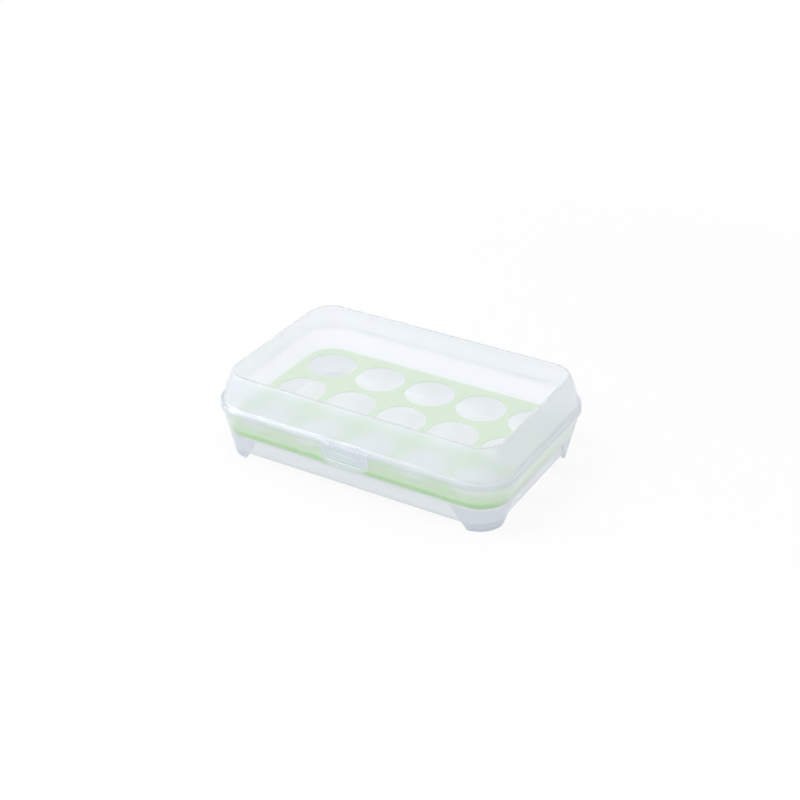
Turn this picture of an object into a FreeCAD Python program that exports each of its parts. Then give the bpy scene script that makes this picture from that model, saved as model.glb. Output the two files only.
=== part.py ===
import FreeCAD, Part
import math
import os

# Egg storage box: a footed base, a lift-out tray with round egg seats, a hinged lid and a front latch.
# The box stands on its feet at z = 0, with X along its length, the latch at -Y and the hinges at +Y.
# Lengths are in millimetres and angles in degrees.

# Egg seats
columns = 5
rows = 3
seat_diameter = 41.0
seat_web = 6.0

# Egg tray, sized at the foot of its lip
tray_end_margin = 7.1
tray_side_margin = 8.4
tray_corner_radius = 23.4
tray_plate = 1.2
tray_lip_height = 4.8
tray_lip_wall = 1.5
tray_edge_chamfer = 0.8

# Base
base_wall = 1.6
wall_flare_angle = 12.0
ledge_width = 1.6
ledge_height = 22.6
floor_height = 4.9
floor_thickness = 1.6
floor_edge_radius = 1.2
seam_height = 44.0
flange_thickness = 3.0
flange_reach = 1.2
upstand_height = 1.3
upstand_wall = 0.8

# Feet, measured from the ends of the base at the ledge and at the table
foot_top_run = 37.0
foot_bottom_run = 19.5
foot_corner_radius = 4.0

# Lid, with heights above the seam and insets from the ridge of its rim
lid_wall = 1.6
lid_top_thickness = 1.8
lid_rise = 28.0
rim_rise = 3.5
rim_inset = 0.4
rim_ledge = 2.2
shoulder_rise = 20.6
shoulder_inset = 6.4
shoulder_radius = 30.0
top_inset = 10.6
top_edge_radius = 2.0

# Pivots, alike on the rear hinges and the front latch
pin_radius = 0.8
knuckle_radius = 1.5
hinge_spacing = 140.0
hinge_width = 14.0
hinge_ear_width = 4.0
mouth_share = 0.8

# Latch
latch_width = 40.0
latch_length = 17.8
latch_plate = 1.6
latch_lean_angle = 6.0
latch_corner_radius = 6.0
latch_axis_rise = 2.4
latch_border = 3.4
latch_pocket_depth = 0.5
latch_pocket_radius = 3.0
latch_skirt_wall = 1.6
latch_skirt_share = 0.8
latch_ear_spacing = 21.0
latch_ear_width = 4.0
grip_ribs = 3
grip_rib_height = 0.9
grip_rib_pitch = 2.4
grip_rib_proud = 0.35
grip_rib_margin = 4.0
tooth_width = 16.0
tooth_height = 3.0
tooth_land = 0.8

# Clearances, and the overrun of every cut
tray_clearance = 0.3
seam_gap = 0.2
upstand_clearance = 0.3
pivot_gap = 0.3
pin_clearance = 0.05
side_clearance = 0.3
latch_clearance = 0.3
catch_clearance = 0.25
overrun = 2.0

# The corners of every wall share one axis each, which stands at the corners of a core rectangle.
# A wall is then a section, in radius from that axis and height, carried round the rectangle.
seat_pitch = seat_diameter + seat_web
core_x = (columns - 1) / 2 * seat_pitch + seat_diameter / 2 + tray_end_margin - tray_corner_radius
core_y = (rows - 1) / 2 * seat_pitch + seat_diameter / 2 + tray_side_margin - tray_corner_radius

flare = math.tan(math.radians(wall_flare_angle))
ledge_radius = tray_corner_radius + tray_clearance
flange_bottom = seam_height - flange_thickness
shoulder_height = seam_height + shoulder_rise
lid_bottom = seam_height + seam_gap
ridge_height = seam_height + rim_rise
lid_top = seam_height + lid_rise


def inner_radius(height):
    """Corner radius of the base's inner face above the ledge, at a height."""
    return ledge_radius + (height - ledge_height) * flare


def outer_radius(height):
    """Corner radius of the base's outer face, which the feet carry down to the table."""
    return inner_radius(height) + base_wall


flange_radius = outer_radius(flange_bottom) + flange_reach
upstand_radius = inner_radius(seam_height) + upstand_wall
recess_radius = upstand_radius + upstand_clearance
ridge_corner_radius = flange_radius - rim_inset
pivot_y = core_y + flange_radius + pivot_gap + knuckle_radius
hinge_height = seam_height + seam_gap / 2
latch_height = seam_height + latch_axis_rise


def rounded_face(corners):
    """Flat face in the XZ plane from corners (x, z, radius), each rounded by its own radius."""
    points = [FreeCAD.Vector(x, 0, z) for x, z, radius in corners]
    starts = []
    middles = []
    ends = []
    for index, point in enumerate(points):
        radius = corners[index][2]
        back = (points[index - 1] - point).normalize()
        ahead = (points[(index + 1) % len(points)] - point).normalize()
        half_angle = back.getAngle(ahead) / 2
        run = radius / math.tan(half_angle)
        starts.append(point + back * run)
        ends.append(point + ahead * run)
        bisector = (back + ahead).normalize() if radius else back
        middles.append(point + bisector * (radius / math.sin(half_angle) - radius))
    edges = []
    for index, corner in enumerate(corners):
        if corner[2]:
            edges.append(Part.Arc(starts[index], middles[index], ends[index]).toShape())
        following = starts[(index + 1) % len(corners)]
        edges.append(Part.LineSegment(ends[index], following).toShape())
    return Part.Face(Part.Wire(edges))


def carried_round(section):
    """Solid made by a section turned at the four corners and drawn along the four sides."""
    centres = [
        FreeCAD.Vector(core_x, core_y, 0),
        FreeCAD.Vector(-core_x, core_y, 0),
        FreeCAD.Vector(-core_x, -core_y, 0),
        FreeCAD.Vector(core_x, -core_y, 0),
    ]
    up = FreeCAD.Vector(0, 0, 1)
    quarter = 90
    pieces = []
    for index, centre in enumerate(centres):
        placed = section.copy()
        placed.rotate(FreeCAD.Vector(0, 0, 0), up, quarter * index)
        placed.translate(centre)
        pieces.append(placed.revolve(centre, up, quarter))
        side = placed.copy()
        side.rotate(centre, up, quarter)
        pieces.append(side.extrude(centres[(index + 1) % len(centres)] - centre))
    return pieces[0].multiFuse(pieces[1:])


def core_block(bottom, top):
    """Plate that fills the core rectangle between two heights."""
    corner = FreeCAD.Vector(-core_x, -core_y, bottom)
    return Part.makeBox(2 * core_x, 2 * core_y, top - bottom, corner)


def bar_along_x(corners, centre_x, width):
    """Bar with an outline in (y, z, radius), drawn along X about a centre."""
    bar = rounded_face(corners).extrude(FreeCAD.Vector(0, width, 0))
    bar.rotate(FreeCAD.Vector(0, 0, 0), FreeCAD.Vector(0, 0, 1), 90)
    bar.translate(FreeCAD.Vector(centre_x + width / 2, 0, 0))
    return bar


def round_bar(radius, y, z, centre_x, width):
    """Round bar along X about a centre."""
    start = FreeCAD.Vector(centre_x - width / 2, y, z)
    return Part.makeCylinder(radius, width, start, FreeCAD.Vector(1, 0, 0))


def snap_eye(y, z, centre_x, width, mouth_y, mouth_z):
    """Cut for a snap eye: a running bore for the pin and the narrower mouth it was pressed in by."""
    bore = round_bar(pin_radius + pin_clearance, y, z, centre_x, width + 2 * overrun)
    half_mouth = pin_radius * mouth_share
    reach = knuckle_radius + overrun
    low_y = min(0, mouth_y) * reach - abs(mouth_z) * half_mouth
    high_y = max(0, mouth_y) * reach + abs(mouth_z) * half_mouth
    low_z = min(0, mouth_z) * reach - abs(mouth_y) * half_mouth
    high_z = max(0, mouth_z) * reach + abs(mouth_y) * half_mouth
    corner = FreeCAD.Vector(centre_x - width / 2 - overrun, y + low_y, z + low_z)
    mouth = Part.makeBox(width + 2 * overrun, high_y - low_y, high_z - low_z, corner)
    return bore.fuse(mouth)


def base_shell():
    """Tub with its floor, tray ledge, flared wall, rim flange and the upstand inside the lid's rim."""
    step_height = ledge_height - base_wall
    floor_top = floor_height + floor_thickness
    section = rounded_face([
        (0, floor_height, 0),
        (outer_radius(floor_height) - ledge_width, floor_height, floor_edge_radius),
        (outer_radius(step_height) - ledge_width, step_height, 0),
        (outer_radius(step_height), step_height, 0),
        (outer_radius(flange_bottom), flange_bottom, 0),
        (flange_radius, flange_bottom, 0),
        (flange_radius, seam_height, 0),
        (upstand_radius, seam_height, 0),
        (upstand_radius, seam_height + upstand_height, 0),
        (inner_radius(seam_height), seam_height + upstand_height, 0),
        (inner_radius(seam_height), seam_height, 0),
        (inner_radius(ledge_height), ledge_height, 0),
        (inner_radius(ledge_height) - ledge_width, ledge_height, 0),
        (inner_radius(floor_top) - ledge_width, floor_top, 0),
        (0, floor_top, 0),
    ])
    return carried_round(section).fuse(core_block(floor_height, floor_top))


def foot_gap(core_length, core_width):
    """Opening between two feet, with slanting sides that round into the feet's soles, through both walls."""
    step_height = ledge_height - base_wall
    top = core_length + outer_radius(step_height) - foot_top_run
    bottom = core_length + outer_radius(0) - foot_bottom_run
    end = core_length + outer_radius(0) + overrun
    reach = core_width + flange_radius + overrun
    outline = rounded_face([
        (-end, -overrun, 0),
        (end, -overrun, 0),
        (end, 0, 0),
        (bottom, 0, foot_corner_radius),
        (top, step_height, 0),
        (-top, step_height, 0),
        (-bottom, 0, foot_corner_radius),
        (-end, 0, 0),
    ])
    outline.translate(FreeCAD.Vector(0, -reach, 0))
    return outline.extrude(FreeCAD.Vector(0, 2 * reach, 0))


def feet():
    """Four corner feet that carry the outer wall down to the table, seated half in the lower wall."""
    step_height = ledge_height - base_wall
    foot_wall = ledge_width + base_wall / 2
    skirt = carried_round(rounded_face([
        (outer_radius(0) - foot_wall, 0, 0),
        (outer_radius(0), 0, 0),
        (outer_radius(step_height), step_height, 0),
        (outer_radius(step_height) - foot_wall, step_height, 0),
    ]))
    end_gap = foot_gap(core_y, core_x)
    end_gap.rotate(FreeCAD.Vector(0, 0, 0), FreeCAD.Vector(0, 0, 1), 90)
    return skirt.cut(foot_gap(core_x, core_y)).cut(end_gap)


def hinge_pins():
    """Pairs of rear ears with a moulded pin between them."""
    ear_offset = hinge_width / 2 + side_clearance + hinge_ear_width / 2
    root = core_y + flange_radius - flange_reach / 2
    pieces = []
    for side in (-1, 1):
        centre = side * hinge_spacing / 2
        for end in (-1, 1):
            ear = centre + end * ear_offset
            pieces.append(round_bar(knuckle_radius, pivot_y, hinge_height, ear, hinge_ear_width))
            pieces.append(bar_along_x([
                (root, flange_bottom, 0),
                (pivot_y, hinge_height - knuckle_radius, 0),
                (pivot_y, seam_height, 0),
                (root, seam_height, 0),
            ], ear, hinge_ear_width))
        pieces.append(round_bar(pin_radius, pivot_y, hinge_height, centre, 2 * ear_offset))
    return pieces


def make_base():
    """Frosted tub with its feet and hinge pins."""
    return base_shell().multiFuse([feet()] + hinge_pins()).removeSplitter()


def make_tray():
    """Flat plate with a turned-down lip, a chamfered edge and a round seat for each egg."""
    plate_top = ledge_height + tray_lip_height
    plate_bottom = plate_top - tray_plate
    section = rounded_face([
        (0, plate_bottom, 0),
        (tray_corner_radius - tray_lip_wall, plate_bottom, 0),
        (tray_corner_radius - tray_lip_wall, ledge_height, 0),
        (tray_corner_radius, ledge_height, 0),
        (tray_corner_radius, plate_top - tray_edge_chamfer, 0),
        (tray_corner_radius - tray_edge_chamfer, plate_top, 0),
        (0, plate_top, 0),
    ])
    tray = carried_round(section).fuse(core_block(plate_bottom, plate_top)).removeSplitter()
    seat_radius = seat_diameter / 2
    seats = []
    for column in range(columns):
        for row in range(rows):
            x = (column - (columns - 1) / 2) * seat_pitch
            y = (row - (rows - 1) / 2) * seat_pitch
            low = FreeCAD.Vector(x, y, plate_bottom - overrun)
            seats.append(Part.makeCylinder(seat_radius, tray_plate + 2 * overrun, low))
    return tray.cut(seats[0].multiFuse(seats[1:]))


def lid_shell():
    """Lid with a clear flat top, a bowed sloping wall and a ledged rim that closes over the upstand."""
    ceiling = lid_top - lid_top_thickness
    shoulder = ridge_corner_radius - shoulder_inset
    top = ridge_corner_radius - top_inset
    upper_slope = (top - shoulder) / (lid_top - shoulder_height)
    ceiling_radius = shoulder - lid_wall + upper_slope * (ceiling - shoulder_height)
    recess_top = seam_height + upstand_height + upstand_clearance
    wall_foot = ridge_corner_radius - rim_ledge
    section = rounded_face([
        (0, ceiling, 0),
        (ceiling_radius, ceiling, 0),
        (shoulder - lid_wall, shoulder_height, 0),
        (wall_foot - lid_wall, ridge_height, 0),
        (wall_foot - lid_wall, recess_top, 0),
        (recess_radius, recess_top, 0),
        (recess_radius, lid_bottom, 0),
        (flange_radius, lid_bottom, 0),
        (ridge_corner_radius, ridge_height, 0),
        (wall_foot, ridge_height, 0),
        (shoulder, shoulder_height, shoulder_radius),
        (top, lid_top, top_edge_radius),
        (0, lid_top, 0),
    ])
    return carried_round(section).fuse(core_block(ceiling, lid_top))


def lid_arm(facing, axis_height, centre_x, width):
    """Arm from the lid's rim to a knuckle on a pivot, facing the rear (1) or the front (-1)."""
    root = facing * (core_y + (recess_radius + ridge_corner_radius) / 2)
    arm = bar_along_x([
        (root, lid_bottom, 0),
        (root, axis_height + knuckle_radius, 0),
        (facing * pivot_y, axis_height + knuckle_radius, 0),
        (facing * pivot_y, max(lid_bottom, axis_height - knuckle_radius), 0),
    ][::facing], centre_x, width)
    return arm.fuse(round_bar(knuckle_radius, facing * pivot_y, axis_height, centre_x, width))


def make_lid():
    """Lid with its rear knuckles on the hinge pins and the two snap eyes of the latch."""
    knuckles = []
    eyes = []
    for side in (-1, 1):
        rear = side * hinge_spacing / 2
        front = side * latch_ear_spacing / 2
        knuckles.append(lid_arm(1, hinge_height, rear, hinge_width))
        knuckles.append(lid_arm(-1, latch_height, front, latch_ear_width))
        eyes.append(snap_eye(pivot_y, hinge_height, rear, hinge_width, 0, -1))
        eyes.append(snap_eye(-pivot_y, latch_height, front, latch_ear_width, -1, 0))
    return lid_shell().multiFuse(knuckles).cut(eyes[0].multiFuse(eyes[1:])).removeSplitter()


def latch_cover():
    """Bordered cover plate under a barrel, with side skirts, built upright on the pivot's axis."""
    front = -knuckle_radius
    half = latch_width / 2
    outline = rounded_face([
        (-half, 0, 0),
        (-half, -latch_length, latch_corner_radius),
        (half, -latch_length, latch_corner_radius),
        (half, 0, 0),
    ])
    outline.translate(FreeCAD.Vector(0, front, 0))
    cover = outline.extrude(FreeCAD.Vector(0, latch_plate, 0))

    pocket_half = half - latch_border
    pocket_low = latch_border - latch_length
    pocket = rounded_face([
        (-pocket_half, -latch_border, latch_pocket_radius),
        (-pocket_half, pocket_low, latch_pocket_radius),
        (pocket_half, pocket_low, latch_pocket_radius),
        (pocket_half, -latch_border, latch_pocket_radius),
    ])
    pocket.translate(FreeCAD.Vector(0, front - overrun, 0))
    cover = cover.cut(pocket.extrude(FreeCAD.Vector(0, overrun + latch_pocket_depth, 0)))

    rib_length = 2 * (pocket_half - grip_rib_margin)
    rib_middle = (pocket_low - latch_border) / 2
    pieces = []
    for index in range(grip_ribs):
        middle = rib_middle + (index - (grip_ribs - 1) / 2) * grip_rib_pitch
        rib_front = front + latch_pocket_depth - grip_rib_proud
        corner = FreeCAD.Vector(-rib_length / 2, rib_front, middle - grip_rib_height / 2)
        pieces.append(Part.makeBox(rib_length, latch_plate / 2, grip_rib_height, corner))

    lean = math.tan(math.radians(latch_lean_angle))
    skirt_back = knuckle_radius + pivot_gap - latch_clearance - latch_length / 2 * lean
    for side in (-1, 1):
        pieces.append(bar_along_x([
            (front + latch_plate / 2, 0, 0),
            (front + latch_plate / 2, -latch_length * latch_skirt_share, 0),
            (skirt_back, -latch_length / 2, 0),
            (skirt_back, 0, 0),
        ], side * (half - latch_skirt_wall / 2), latch_skirt_wall))
    pieces.append(round_bar(knuckle_radius, 0, 0, 0, latch_width))
    return cover.multiFuse(pieces)


def make_latch():
    """Latch that leans with the base's wall, with a tooth under the flange and pins in the lid's eyes."""
    cover = latch_cover()
    notches = []
    pins = []
    for side in (-1, 1):
        middle = side * latch_ear_spacing / 2
        notch_width = latch_ear_width + 2 * side_clearance
        notches.append(round_bar(knuckle_radius + side_clearance, 0, 0, middle, notch_width))
        pins.append(round_bar(pin_radius, 0, 0, middle, notch_width + 2 * side_clearance))
    latch = cover.cut(notches[0].fuse(notches[1])).multiFuse(pins)
    latch.rotate(FreeCAD.Vector(0, 0, 0), FreeCAD.Vector(1, 0, 0), latch_lean_angle)
    latch.translate(FreeCAD.Vector(0, -pivot_y, latch_height))

    tooth_top = flange_bottom - catch_clearance
    tip = -(core_y + flange_radius + catch_clearance)
    tilt = math.radians(latch_lean_angle)
    drop = latch_height - tooth_top
    plate_middle = -pivot_y - (knuckle_radius - latch_plate / 2) / math.cos(tilt) + drop * math.tan(tilt)
    tooth = bar_along_x([
        (plate_middle, tooth_top, 0),
        (plate_middle, tooth_top - tooth_height, 0),
        (tip, tooth_top - tooth_land, 0),
        (tip, tooth_top, 0),
    ], 0, tooth_width)
    return latch.fuse(tooth).removeSplitter()


def main():
    """Build every piece and write one file for each."""
    os.makedirs("parts", exist_ok=True)
    pieces = {
        "base": make_base(),
        "egg_tray": make_tray(),
        "lid": make_lid(),
        "latch": make_latch(),
    }
    for name, shape in pieces.items():
        shape.exportStep(f"parts/{name}.step")
        box = shape.BoundBox
        print(name, "solids", len(shape.Solids), "valid", shape.isValid(), "volume", round(shape.Volume))
        print("  x", round(box.XMin, 2), round(box.XMax, 2), "y", round(box.YMin, 2), round(box.YMax, 2),
              "z", round(box.ZMin, 2), round(box.ZMax, 2))


main()
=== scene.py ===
import logging
import math
from dataclasses import dataclass, replace
from enum import Enum
from typing import Any, Callable, Iterable, Sequence

import bmesh
import bpy
from mathutils import Matrix, Vector


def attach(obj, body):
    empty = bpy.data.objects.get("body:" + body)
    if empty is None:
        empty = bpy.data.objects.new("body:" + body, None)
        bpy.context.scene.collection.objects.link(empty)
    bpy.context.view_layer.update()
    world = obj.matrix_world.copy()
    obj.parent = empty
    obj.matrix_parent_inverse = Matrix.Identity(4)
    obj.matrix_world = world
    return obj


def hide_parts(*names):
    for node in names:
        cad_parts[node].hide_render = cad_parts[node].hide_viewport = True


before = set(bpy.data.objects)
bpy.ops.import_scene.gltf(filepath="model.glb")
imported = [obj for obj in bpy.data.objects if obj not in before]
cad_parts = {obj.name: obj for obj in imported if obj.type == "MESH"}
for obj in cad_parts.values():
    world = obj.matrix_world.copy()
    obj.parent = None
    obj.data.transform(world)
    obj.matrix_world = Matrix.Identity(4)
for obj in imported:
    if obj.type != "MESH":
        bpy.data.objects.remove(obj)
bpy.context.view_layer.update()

# Meshes are modelled in millimetres and turned to metres once, when a piece is finished.
MM = 0.001
# Points closer than this are one point, and so are a point and a cut.
WELD = 0.002
CUT_WELD = 0.0002
# Steps of the curves: round a wall's corner, round a section's corner and round a pin.
QUARTER_TURN = math.radians(90)
CORNER_STEPS = 24
ROUND_STEP = math.radians(9)
LEAST_ROUND_STEPS = 3
ROD_STEPS = 32
# Edges sharper than this stay crisp, and a face that is this level counts as flat.
SHARP_ANGLE = math.radians(32)
FLAT = 0.999
# Directions of the shared frame.
UP = Vector((0, 0, 1))
ALONG = Vector((1, 0, 0))
REARWARD = Vector((0, 1, 0))
# The curve of sRGB is a straight toe and then a power.
SRGB_TOE = 0.04045
SRGB_TOE_SLOPE = 12.92
SRGB_OFFSET = 0.055
SRGB_POWER = 2.4
# Noise of the flow clouds and of the grain, and the part of its range that noise fills.
CLOUD_DETAIL = 2.0
CLOUD_ROUGHNESS = 0.45
GRAIN_DETAIL = 3.0
GRAIN_ROUGHNESS = 0.6
NOISE_LOW = 0.3
NOISE_HIGH = 0.7
# Strength at which a glow shows as plain white.
WHITE_GLOW = 1.0

log = logging.getLogger("egg_box")


class Change(Enum):
    """How a second mesh changes the first."""

    ADD = "UNION"
    CUT = "DIFFERENCE"


class Soften(Enum):
    """What is rounded: corners of a drawn chain or edges of a solid."""

    CORNERS = "VERTICES"
    EDGES = "EDGES"


class LidRegion(Enum):
    """Material slots of the lid."""

    WALL = 0
    POLISHED = 1
    RIM = 2


class BaseRegion(Enum):
    """Material slots of the base."""

    WALL = 0
    LOWER = 1
    RIM = 2
    FOOT = 3


@dataclass(frozen=True)
class Corner:
    """Corner of a section or an outline, with its own rounding radius, in millimetres."""

    across: float
    up: float
    rounding: float = 0.0


def linear(hex_colour: str) -> tuple[float, float, float, float]:
    """Turn an sRGB hex colour into linear light.

    Args:
        hex_colour: Colour as "#RRGGBB".

    Returns:
        Linear red, green, blue and an alpha of one.
    """
    channels = [int(hex_colour[place:place + 2], 16) / 255 for place in (1, 3, 5)]
    curve = [channel / SRGB_TOE_SLOPE if channel <= SRGB_TOE
             else ((channel + SRGB_OFFSET) / (1 + SRGB_OFFSET)) ** SRGB_POWER
             for channel in channels]
    return (curve[0], curve[1], curve[2], 1.0)


def add_node(tree: bpy.types.NodeTree, kind: str, settings: dict[str, Any] | None = None,
             sockets: dict[Any, Any] | None = None) -> bpy.types.Node:
    """Add a node with its settings and its input values or links.

    Args:
        tree: Node tree that takes the node.
        kind: Node type, such as "ShaderNodeTexNoise".
        settings: Properties to set on the node.
        sockets: Input name or index to a plain value or another node's output.

    Returns:
        The new node.
    """
    node = tree.nodes.new(kind)
    for name, value in (settings or {}).items():
        setattr(node, name, value)
    for name, value in (sockets or {}).items():
        if isinstance(value, bpy.types.NodeSocket):
            tree.links.new(value, node.inputs[name])
        else:
            node.inputs[name].default_value = value
    return node


def empty_material(name: str) -> bpy.types.Material:
    """Make a material whose node tree is still empty.

    Args:
        name: Name of the material.

    Returns:
        The new material.
    """
    material = bpy.data.materials.new(name)
    material.use_nodes = True
    material.node_tree.nodes.clear()
    return material


def of_kind(items: Iterable[Any], kind: type) -> list[Any]:
    """Pick the verts or the edges out of what an operator hands back, in order."""
    return [item for item in items if isinstance(item, kind)]


def soften(mesh: bmesh.types.BMesh, what: Soften, geom: Sequence[Any], offset: float,
           steps: int) -> None:
    """Round corners or edges with an even arc.

    Args:
        mesh: Mesh that is rounded.
        what: Whether corners or edges are given.
        geom: The corners or edges.
        offset: Length that the arc takes from each side.
        steps: Steps of the arc.
    """
    bmesh.ops.bevel(mesh, geom=geom, offset=offset, offset_type="OFFSET", segments=steps,
                    profile=0.5, affect=what.value, material=-1)


def rounded_wire(mesh: bmesh.types.BMesh, corners: Sequence[Corner],
                 place: Callable[[float, float], Vector], closed: bool) -> None:
    """Draw a chain of edges and round its corners.

    Args:
        mesh: Empty mesh that takes the chain.
        corners: Corners in order.
        place: Turns a corner's two lengths into a point.
        closed: Whether the last corner joins the first.
    """
    points = [place(corner.across, corner.up) for corner in corners]
    verts = [mesh.verts.new(point) for point in points]
    for index in range(len(verts) - (0 if closed else 1)):
        mesh.edges.new((verts[index], verts[(index + 1) % len(verts)]))
    for index, corner in enumerate(corners):
        if not corner.rounding:
            continue
        back = points[index] - points[index - 1]
        ahead = points[(index + 1) % len(points)] - points[index]
        turn = back.angle(ahead)
        steps = max(LEAST_ROUND_STEPS, round(turn / ROUND_STEP))
        soften(mesh, Soften.CORNERS, [verts[index]], corner.rounding * math.tan(turn / 2), steps)


def turned(mesh: bmesh.types.BMesh, profile: Sequence[Any], centre: Vector) -> list[Any]:
    """Carry a profile a quarter turn round an upright axis.

    Args:
        mesh: Mesh that holds the profile.
        profile: Verts and edges of the profile.
        centre: Point on the axis.

    Returns:
        The edges at the end of the turn.
    """
    spun = bmesh.ops.spin(mesh, geom=profile, cent=centre, axis=UP, angle=QUARTER_TURN,
                          steps=CORNER_STEPS, use_merge=False, use_duplicate=False)
    return of_kind(spun["geom_last"], bmesh.types.BMEdge)


def drawn_out(mesh: bmesh.types.BMesh, edges: Sequence[Any], way: Vector) -> list[Any]:
    """Draw a row of edges out into a strip of faces.

    Args:
        mesh: Mesh that holds the edges.
        edges: Edges that are drawn out.
        way: Direction and length of the strip.

    Returns:
        The verts and edges at the far end of the strip.
    """
    drawn = bmesh.ops.extrude_edge_only(mesh, edges=edges)["geom"]
    moved = of_kind(drawn, bmesh.types.BMVert)
    bmesh.ops.translate(mesh, verts=moved, vec=way)
    far = set(moved)
    ends = [edge for edge in of_kind(drawn, bmesh.types.BMEdge) if far.issuperset(edge.verts)]
    return [*moved, *ends]


def thickened(mesh: bmesh.types.BMesh, way: Vector) -> None:
    """Fill a closed chain and draw it out into a plate.

    Args:
        mesh: Mesh that holds the chain alone.
        way: Direction and length of the plate's thickness.
    """
    face = bmesh.ops.contextual_create(mesh, geom=mesh.edges[:])["faces"]
    grown = bmesh.ops.extrude_face_region(mesh, geom=face)["geom"]
    bmesh.ops.translate(mesh, verts=of_kind(grown, bmesh.types.BMVert), vec=way)
    bmesh.ops.recalc_face_normals(mesh, faces=mesh.faces)


def close_up(mesh: bmesh.types.BMesh) -> None:
    """Merge doubles, fill open loops and turn every face outwards.

    Args:
        mesh: Mesh that is closed.
    """
    bmesh.ops.remove_doubles(mesh, verts=mesh.verts, dist=WELD)
    bmesh.ops.dissolve_degenerate(mesh, edges=mesh.edges, dist=WELD)
    rims = [edge for edge in mesh.edges if edge.is_boundary]
    if rims:
        bmesh.ops.holes_fill(mesh, edges=rims, sides=0)
    bmesh.ops.recalc_face_normals(mesh, faces=mesh.faces)


def prism(corners: Sequence[Corner], centre: float, width: float) -> bmesh.types.BMesh:
    """Make a bar along X with a rounded outline in Y and Z.

    Args:
        corners: Outline as (y, z, rounding).
        centre: Middle of the bar along X.
        width: Length of the bar along X.

    Returns:
        A closed mesh.
    """
    mesh = bmesh.new()
    start = centre - width / 2
    rounded_wire(mesh, corners, lambda y, z: Vector((start, y, z)), True)
    thickened(mesh, ALONG * width)
    return mesh


def rod(radius: float, y: float, z: float, centre: float, width: float) -> bmesh.types.BMesh:
    """Make a round bar along X.

    Args:
        radius: Radius of the bar.
        y: Axis place in Y.
        z: Axis place in Z.
        centre: Middle of the bar along X.
        width: Length of the bar along X.

    Returns:
        A closed mesh.
    """
    mesh = bmesh.new()
    turn = Matrix.Translation((centre, y, z)) @ Matrix.Rotation(QUARTER_TURN, 4, "Y")
    bmesh.ops.create_cone(mesh, cap_ends=True, segments=ROD_STEPS, radius1=radius,
                          radius2=radius, depth=width, matrix=turn)
    return mesh


def joined(meshes: Sequence[bmesh.types.BMesh]) -> bmesh.types.BMesh:
    """Put several meshes into one, side by side, and free them.

    Args:
        meshes: Meshes in order.

    Returns:
        The mesh that holds them all.
    """
    whole = bmesh.new()
    for mesh in meshes:
        carrier = bpy.data.meshes.new("carrier")
        mesh.to_mesh(carrier)
        mesh.free()
        whole.from_mesh(carrier)
        bpy.data.meshes.remove(carrier)
    return whole


def as_object(name: str, mesh: bmesh.types.BMesh) -> bpy.types.Object:
    """Link a mesh to the scene as an object at the origin, and free the mesh.

    Args:
        name: Name of the object.
        mesh: Mesh that it shows.

    Returns:
        The new object.
    """
    data = bpy.data.meshes.new(name)
    mesh.to_mesh(data)
    mesh.free()
    piece = bpy.data.objects.new(name, data)
    bpy.context.scene.collection.objects.link(piece)
    return piece


def combine(piece: bpy.types.Object, tool: bmesh.types.BMesh, how: Change) -> None:
    """Fuse a mesh with a piece, or cut it away, and keep the result as the piece's mesh.

    Args:
        piece: Object whose mesh changes.
        tool: Mesh that is added or cut, and freed.
        how: Whether to add or to cut.
    """
    helper = as_object("helper", tool)
    change = piece.modifiers.new("combine", "BOOLEAN")
    change.operation = how.value
    change.solver = "EXACT"
    change.use_self = True
    change.object = helper
    ready = piece.evaluated_get(bpy.context.evaluated_depsgraph_get())
    old = piece.data
    piece.data = bpy.data.meshes.new_from_object(ready)
    piece.modifiers.clear()
    bpy.data.meshes.remove(old)
    spare = helper.data
    bpy.data.objects.remove(helper)
    bpy.data.meshes.remove(spare)
    piece.data.name = piece.name


def finish_piece(piece: bpy.types.Object, materials: Sequence[bpy.types.Material], node: str) -> None:
    """Turn a piece to metres, shade it, dress it and let it stand for its node.

    Args:
        piece: Object modelled in millimetres.
        materials: Materials in slot order.
        node: Node that it replaces, which is also its body.
    """
    piece.data.transform(Matrix.Scale(MM, 4))
    piece.data.shade_smooth()
    piece.data.set_sharp_from_angle(angle=SHARP_ANGLE)
    even = piece.modifiers.new("even_normals", "WEIGHTED_NORMAL")
    even.mode = "FACE_AREA_WITH_ANGLE"
    even.keep_sharp = True
    for material in materials:
        piece.data.materials.append(material)
    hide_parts(node)
    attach(piece, node)


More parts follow.
